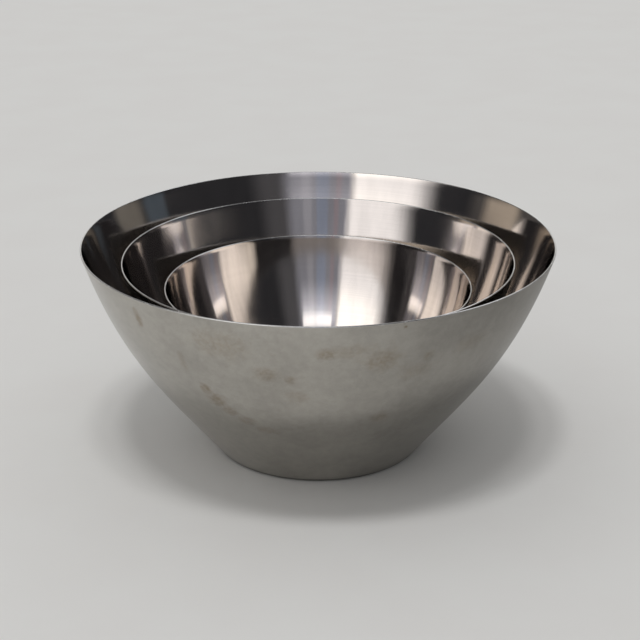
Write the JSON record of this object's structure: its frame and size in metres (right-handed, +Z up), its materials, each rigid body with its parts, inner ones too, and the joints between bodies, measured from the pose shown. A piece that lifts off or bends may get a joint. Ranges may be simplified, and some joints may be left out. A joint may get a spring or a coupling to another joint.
{
  "type": "nesting bowl set",
  "caption": "Nest of thin-walled stainless steel bowls with flat bases and flared walls, each standing on the floor of the next larger one and lifting straight out.",
  "frame": {"origin": "middle of the large bowl's flat underside", "axes": "+Z up along the shared axis of all the bowls; X and Y are free, because every bowl is round"},
  "size_m": [0.3, 0.3, 0.138],
  "materials": {
    "steel_large": "satin stainless steel outside with faint water stains, polished inside",
    "steel_medium": "stainless steel, finely turned and polished inside",
    "steel_small": "stainless steel, finely turned and polished inside"
  },
  "bodies": {
    "large_bowl": {"bowl_large": "steel_large"},
    "medium_bowl": {"bowl_medium": "steel_medium"},
    "small_bowl": {"bowl_small": "steel_small"}
  },
  "joints": [
    {"name": "medium_lift", "type": "slide", "parent": "large_bowl", "child": "medium_bowl", "axis": [0, 0, 1], "range_m": [0, 0.15]},
    {"name": "small_lift", "type": "slide", "parent": "medium_bowl", "child": "small_bowl", "axis": [0, 0, 1], "range_m": [0, 0.15]}
  ]
}
